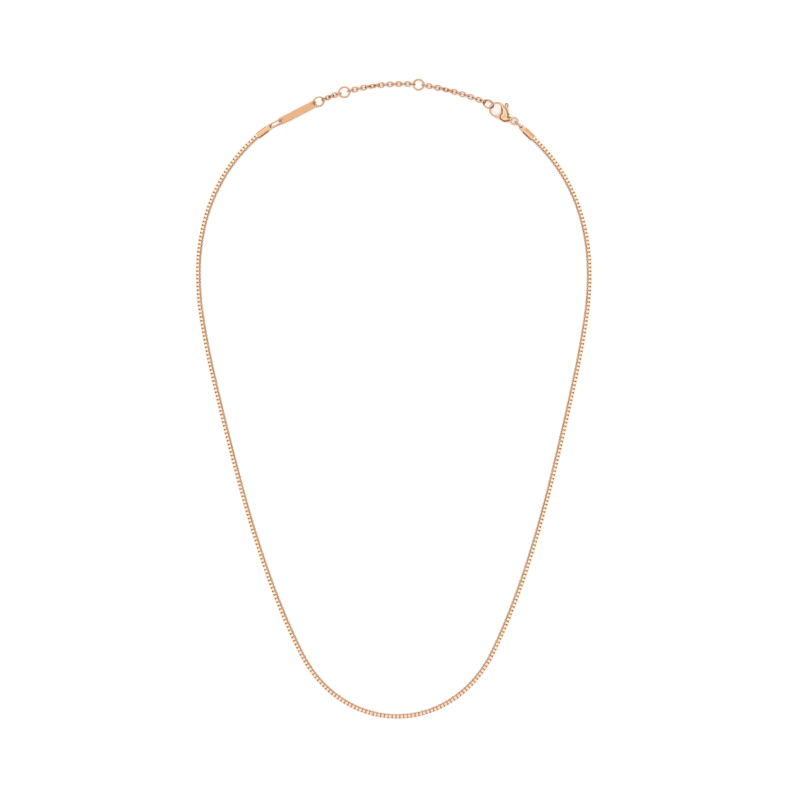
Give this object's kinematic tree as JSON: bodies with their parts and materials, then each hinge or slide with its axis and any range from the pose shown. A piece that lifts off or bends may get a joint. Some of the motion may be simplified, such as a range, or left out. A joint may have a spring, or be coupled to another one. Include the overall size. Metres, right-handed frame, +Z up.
{
  "type": "chain necklace",
  "caption": "Fine box chain necklace lying in an open loop, closed by folded end caps, a flat tag plate and a short cable extension caught in a lobster clasp.",
  "frame": {"origin": "middle of the loop's bounding box, on the surface that the necklace lies on", "axes": "+Z up off the surface, +Y from the bottom of the loop towards the clasp, +X across the loop towards the clasp's side"},
  "size_m": [0.1146, 0.1852, 0.0026],
  "materials": {
    "box_chain": "polished rose gold plate",
    "findings": "polished rose gold plate",
    "tag": "satin rose gold plate",
    "spring": "bright spring steel"
  },
  "bodies": {
    "chain_front": {"chain_bottom": "box_chain", "chain_bottom_rests": "box_chain"},
    "left_1": {"chain_left_1": "box_chain", "chain_left_1_rests": "box_chain"},
    "left_2": {"chain_left_2": "box_chain", "chain_left_2_rests": "box_chain"},
    "left_3": {"chain_left_3": "box_chain", "chain_left_3_rests": "box_chain"},
    "left_4": {"chain_left_4": "box_chain", "chain_left_4_rests": "box_chain"},
    "left_5": {"chain_left_5": "box_chain", "chain_left_5_rests": "box_chain"},
    "left_6": {"chain_left_6": "box_chain", "chain_left_6_rests": "box_chain"},
    "right_1": {"chain_right_1": "box_chain", "chain_right_1_rests": "box_chain"},
    "right_2": {"chain_right_2": "box_chain", "chain_right_2_rests": "box_chain"},
    "right_3": {"chain_right_3": "box_chain", "chain_right_3_rests": "box_chain"},
    "right_4": {"chain_right_4": "box_chain", "chain_right_4_rests": "box_chain"},
    "right_5": {"chain_right_5": "box_chain", "chain_right_5_rests": "box_chain"},
    "right_6": {"chain_right_6": "box_chain", "chain_right_6_rests": "box_chain"},
    "top_arc": {"chain_left_end": "box_chain", "chain_right_end": "box_chain", "left_end_cap": "findings", "right_end_cap": "findings", "extension_1_upright": "findings", "extension_2_upright": "findings", "extension_3_upright": "findings"},
    "tag_link": {"tag_link": "findings"},
    "tag_plate": {"tag_plate": "tag"},
    "ring_1": {"ring_1": "findings"},
    "ring_2": {"ring_2": "findings"},
    "ring_3": {"ring_3": "findings"},
    "ring_4": {"ring_4": "findings"},
    "clasp": {"clasp_body": "findings", "clasp_pin": "findings", "clasp_spring": "spring"},
    "clasp_lever": {"clasp_lever": "findings"},
    "clasp_link": {"clasp_link": "findings"},
    "extension_1_flat_1": {"extension_1_flat_1": "findings"},
    "extension_1_flat_2": {"extension_1_flat_2": "findings"},
    "extension_2_flat_1": {"extension_2_flat_1": "findings"},
    "extension_2_flat_2": {"extension_2_flat_2": "findings"},
    "extension_2_flat_3": {"extension_2_flat_3": "findings"},
    "extension_2_flat_4": {"extension_2_flat_4": "findings"},
    "extension_2_flat_5": {"extension_2_flat_5": "findings"},
    "extension_2_flat_6": {"extension_2_flat_6": "findings"},
    "extension_2_flat_7": {"extension_2_flat_7": "findings"},
    "extension_3_flat_1": {"extension_3_flat_1": "findings"},
    "extension_3_flat_2": {"extension_3_flat_2": "findings"},
    "extension_3_flat_3": {"extension_3_flat_3": "findings"},
    "extension_3_flat_4": {"extension_3_flat_4": "findings"},
    "extension_3_flat_5": {"extension_3_flat_5": "findings"},
    "extension_3_flat_6": {"extension_3_flat_6": "findings"},
    "extension_3_flat_7": {"extension_3_flat_7": "findings"}
  },
  "joints": [
    {"name": "fold_1_left", "type": "hinge", "parent": "chain_front", "child": "left_1", "pos_m": [-0.0237, -0.08005, 0.00065], "axis": [1, 0, 0], "range_deg": [-9, 9]},
    {"name": "fold_1_right", "type": "hinge", "parent": "chain_front", "child": "right_1", "pos_m": [0.0237, -0.08005, 0.00065], "axis": [1, 0, 0], "range_deg": [-9, 9]},
    {"name": "fold_2_left", "type": "hinge", "parent": "left_1", "child": "left_2", "pos_m": [-0.03783, -0.04879, 0.00066], "axis": [1, 0, 0], "range_deg": [-9, 9]},
    {"name": "fold_2_right", "type": "hinge", "parent": "right_1", "child": "right_2", "pos_m": [0.03783, -0.04879, 0.00066], "axis": [1, 0, 0], "range_deg": [-9, 9]},
    {"name": "fold_3_left", "type": "hinge", "parent": "left_2", "child": "left_3", "pos_m": [-0.04737, -0.01513, 0.00067], "axis": [1, 0, 0], "range_deg": [-9, 9]},
    {"name": "fold_3_right", "type": "hinge", "parent": "right_2", "child": "right_3", "pos_m": [0.04737, -0.01513, 0.00067], "axis": [1, 0, 0], "range_deg": [-9, 9]},
    {"name": "sway_low_left", "type": "hinge", "parent": "left_3", "child": "left_4", "pos_m": [-0.05545, 0.02231, 0.0007], "axis": [0, 0, 1], "range_deg": [-8, 8]},
    {"name": "sway_low_right", "type": "hinge", "parent": "right_3", "child": "right_4", "pos_m": [0.05545, 0.02231, 0.0007], "axis": [0, 0, 1], "range_deg": [-8, 8]},
    {"name": "sway_high_left", "type": "hinge", "parent": "left_4", "child": "left_5", "pos_m": [-0.05543, 0.04827, 0.00069], "axis": [0, 0, 1], "range_deg": [-8, 8]},
    {"name": "sway_high_right", "type": "hinge", "parent": "right_4", "child": "right_5", "pos_m": [0.05543, 0.04827, 0.00069], "axis": [0, 0, 1], "range_deg": [-8, 8]},
    {"name": "fold_4_left", "type": "hinge", "parent": "left_5", "child": "left_6", "pos_m": [-0.04936, 0.0643, 0.00079], "axis": [1, 0, 0], "range_deg": [-9, 9]},
    {"name": "fold_4_right", "type": "hinge", "parent": "right_5", "child": "right_6", "pos_m": [0.04936, 0.0643, 0.00079], "axis": [1, 0, 0], "range_deg": [-9, 9]},
    {"name": "top_fold", "type": "hinge", "parent": "left_6", "child": "top_arc", "pos_m": [-0.04265, 0.07311, 0.00091], "axis": [1, 0, 0], "range_deg": [-9, 9]},
    {"name": "tag_link_roll", "type": "hinge", "parent": "top_arc", "child": "tag_link", "pos_m": [-0.03379, 0.07995, 0.001], "axis": [0.8965, 0.443, 0], "range_deg": [0, 25]},
    {"name": "tag_plate_roll", "type": "hinge", "parent": "top_arc", "child": "tag_plate", "pos_m": [-0.02742, 0.08315, 0.00096], "axis": [0.8928, 0.4504, -0.0071], "range_deg": [-25, 0]},
    {"name": "ring_1_roll", "type": "hinge", "parent": "top_arc", "child": "ring_1", "pos_m": [-0.02128, 0.08622, 0.00092], "axis": [0.9002, 0.4354, 0], "range_deg": [0, 20]},
    {"name": "ring_2_roll", "type": "hinge", "parent": "top_arc", "child": "ring_2", "pos_m": [-0.01382, 0.08892, 0.00092], "axis": [0.9651, 0.2618, 0], "range_deg": [-25, 25]},
    {"name": "ring_3_roll", "type": "hinge", "parent": "top_arc", "child": "ring_3", "pos_m": [0.00769, 0.0909, 0.00092], "axis": [0.9941, -0.1081, 0], "range_deg": [-25, 25]},
    {"name": "ring_4_roll", "type": "hinge", "parent": "top_arc", "child": "ring_4", "pos_m": [0.02789, 0.08505, 0.00129], "axis": [0.8812, -0.4726, 0.0075], "range_deg": [-20, 0]},
    {"name": "clasp_roll", "type": "hinge", "parent": "top_arc", "child": "clasp", "pos_m": [0.0324, 0.08211, 0.00124], "axis": [0.8228, -0.5681, -0.015], "range_deg": [0, 20]},
    {"name": "clasp_link_roll", "type": "hinge", "parent": "top_arc", "child": "clasp_link", "pos_m": [0.03654, 0.07905, 0.00114], "axis": [0.719, -0.6939, -0.0385], "range_deg": [-15, 15]},
    {"name": "extension_1_flat_1_roll", "type": "hinge", "parent": "top_arc", "child": "extension_1_flat_1", "pos_m": [-0.01864, 0.08738, 0.00092], "axis": [0.9351, 0.3545, 0], "range_deg": [-12, 12]},
    {"name": "extension_1_flat_2_roll", "type": "hinge", "parent": "top_arc", "child": "extension_1_flat_2", "pos_m": [-0.01658, 0.08811, 0.00092], "axis": [0.95, 0.3123, 0], "range_deg": [-12, 12]},
    {"name": "extension_2_flat_1_roll", "type": "hinge", "parent": "top_arc", "child": "extension_2_flat_1", "pos_m": [-0.01075, 0.08968, 0.00092], "axis": [0.9767, 0.2145, 0], "range_deg": [-12, 12]},
    {"name": "extension_2_flat_2_roll", "type": "hinge", "parent": "top_arc", "child": "extension_2_flat_2", "pos_m": [-0.00823, 0.09019, 0.00092], "axis": [0.9842, 0.177, 0], "range_deg": [-12, 12]},
    {"name": "extension_2_flat_3_roll", "type": "hinge", "parent": "top_arc", "child": "extension_2_flat_3", "pos_m": [-0.0057, 0.09059, 0.00092], "axis": [0.9902, 0.1396, 0], "range_deg": [-12, 12]},
    {"name": "extension_2_flat_4_roll", "type": "hinge", "parent": "top_arc", "child": "extension_2_flat_4", "pos_m": [-0.00315, 0.0909, 0.00092], "axis": [0.9952, 0.0975, 0], "range_deg": [-12, 12]},
    {"name": "extension_2_flat_5_roll", "type": "hinge", "parent": "top_arc", "child": "extension_2_flat_5", "pos_m": [-0.00059, 0.09109, 0.00092], "axis": [0.9986, 0.053, 0], "range_deg": [-12, 12]},
    {"name": "extension_2_flat_6_roll", "type": "hinge", "parent": "top_arc", "child": "extension_2_flat_6", "pos_m": [0.00197, 0.09117, 0.00092], "axis": [1, 0.0094, 0], "range_deg": [-12, 12]},
    {"name": "extension_2_flat_7_roll", "type": "hinge", "parent": "top_arc", "child": "extension_2_flat_7", "pos_m": [0.00453, 0.09114, 0.00092], "axis": [0.9994, -0.0351, 0], "range_deg": [-12, 12]},
    {"name": "extension_3_flat_1_roll", "type": "hinge", "parent": "top_arc", "child": "extension_3_flat_1", "pos_m": [0.01077, 0.09046, 0.00092], "axis": [0.9827, -0.1852, 0], "range_deg": [-12, 12]},
    {"name": "extension_3_flat_2_roll", "type": "hinge", "parent": "top_arc", "child": "extension_3_flat_2", "pos_m": [0.0132, 0.08995, 0.00092], "axis": [0.9752, -0.2214, 0], "range_deg": [-12, 12]},
    {"name": "extension_3_flat_3_roll", "type": "hinge", "parent": "top_arc", "child": "extension_3_flat_3", "pos_m": [0.01561, 0.08937, 0.00092], "axis": [0.9694, -0.2456, 0], "range_deg": [-12, 12]},
    {"name": "extension_3_flat_4_roll", "type": "hinge", "parent": "top_arc", "child": "extension_3_flat_4", "pos_m": [0.01801, 0.08873, 0.00092], "axis": [0.9631, -0.269, 0], "range_deg": [-12, 12]},
    {"name": "extension_3_flat_5_roll", "type": "hinge", "parent": "top_arc", "child": "extension_3_flat_5", "pos_m": [0.02039, 0.08802, 0.00092], "axis": [0.9531, -0.3027, 0], "range_deg": [-12, 12]},
    {"name": "extension_3_flat_6_roll", "type": "hinge", "parent": "top_arc", "child": "extension_3_flat_6", "pos_m": [0.02275, 0.08723, 0.00092], "axis": [0.942, -0.3357, 0], "range_deg": [-12, 12]},
    {"name": "extension_3_flat_7_roll", "type": "hinge", "parent": "top_arc", "child": "extension_3_flat_7", "pos_m": [0.02507, 0.08635, 0.00109], "axis": [0.9247, -0.3668, 0.1022], "range_deg": [-12, 12]},
    {"name": "lever_open", "type": "hinge", "parent": "clasp", "child": "clasp_lever", "pos_m": [0.03269, 0.08215, 0.00124], "axis": [-0.0124, 0.0085, -0.9999], "range_deg": [0, 20], "stiffness_Nm_per_rad": 0.0004, "springref_deg": -5.73}
  ],
  "couplings": [
    {"joint": "fold_1_right", "follows": "fold_1_left", "ratio": 1},
    {"joint": "fold_2_right", "follows": "fold_2_left", "ratio": 1},
    {"joint": "fold_3_right", "follows": "fold_3_left", "ratio": 1},
    {"joint": "fold_4_right", "follows": "fold_4_left", "ratio": 1},
    {"joint": "sway_low_right", "follows": "sway_low_left", "ratio": 1},
    {"joint": "sway_high_left", "follows": "sway_low_left", "ratio": -1},
    {"joint": "sway_high_right", "follows": "sway_low_left", "ratio": -1},
    {"joint": "extension_1_flat_2_roll", "follows": "extension_1_flat_1_roll", "ratio": 1},
    {"joint": "extension_2_flat_2_roll", "follows": "extension_2_flat_1_roll", "ratio": 1},
    {"joint": "extension_2_flat_3_roll", "follows": "extension_2_flat_1_roll", "ratio": 1},
    {"joint": "extension_2_flat_4_roll", "follows": "extension_2_flat_1_roll", "ratio": 1},
    {"joint": "extension_2_flat_5_roll", "follows": "extension_2_flat_1_roll", "ratio": 1},
    {"joint": "extension_2_flat_6_roll", "follows": "extension_2_flat_1_roll", "ratio": 1},
    {"joint": "extension_2_flat_7_roll", "follows": "extension_2_flat_1_roll", "ratio": 1},
    {"joint": "extension_3_flat_2_roll", "follows": "extension_3_flat_1_roll", "ratio": 1},
    {"joint": "extension_3_flat_3_roll", "follows": "extension_3_flat_1_roll", "ratio": 1},
    {"joint": "extension_3_flat_4_roll", "follows": "extension_3_flat_1_roll", "ratio": 1},
    {"joint": "extension_3_flat_5_roll", "follows": "extension_3_flat_1_roll", "ratio": 1},
    {"joint": "extension_3_flat_6_roll", "follows": "extension_3_flat_1_roll", "ratio": 1},
    {"joint": "extension_3_flat_7_roll", "follows": "extension_3_flat_1_roll", "ratio": 1}
  ]
}
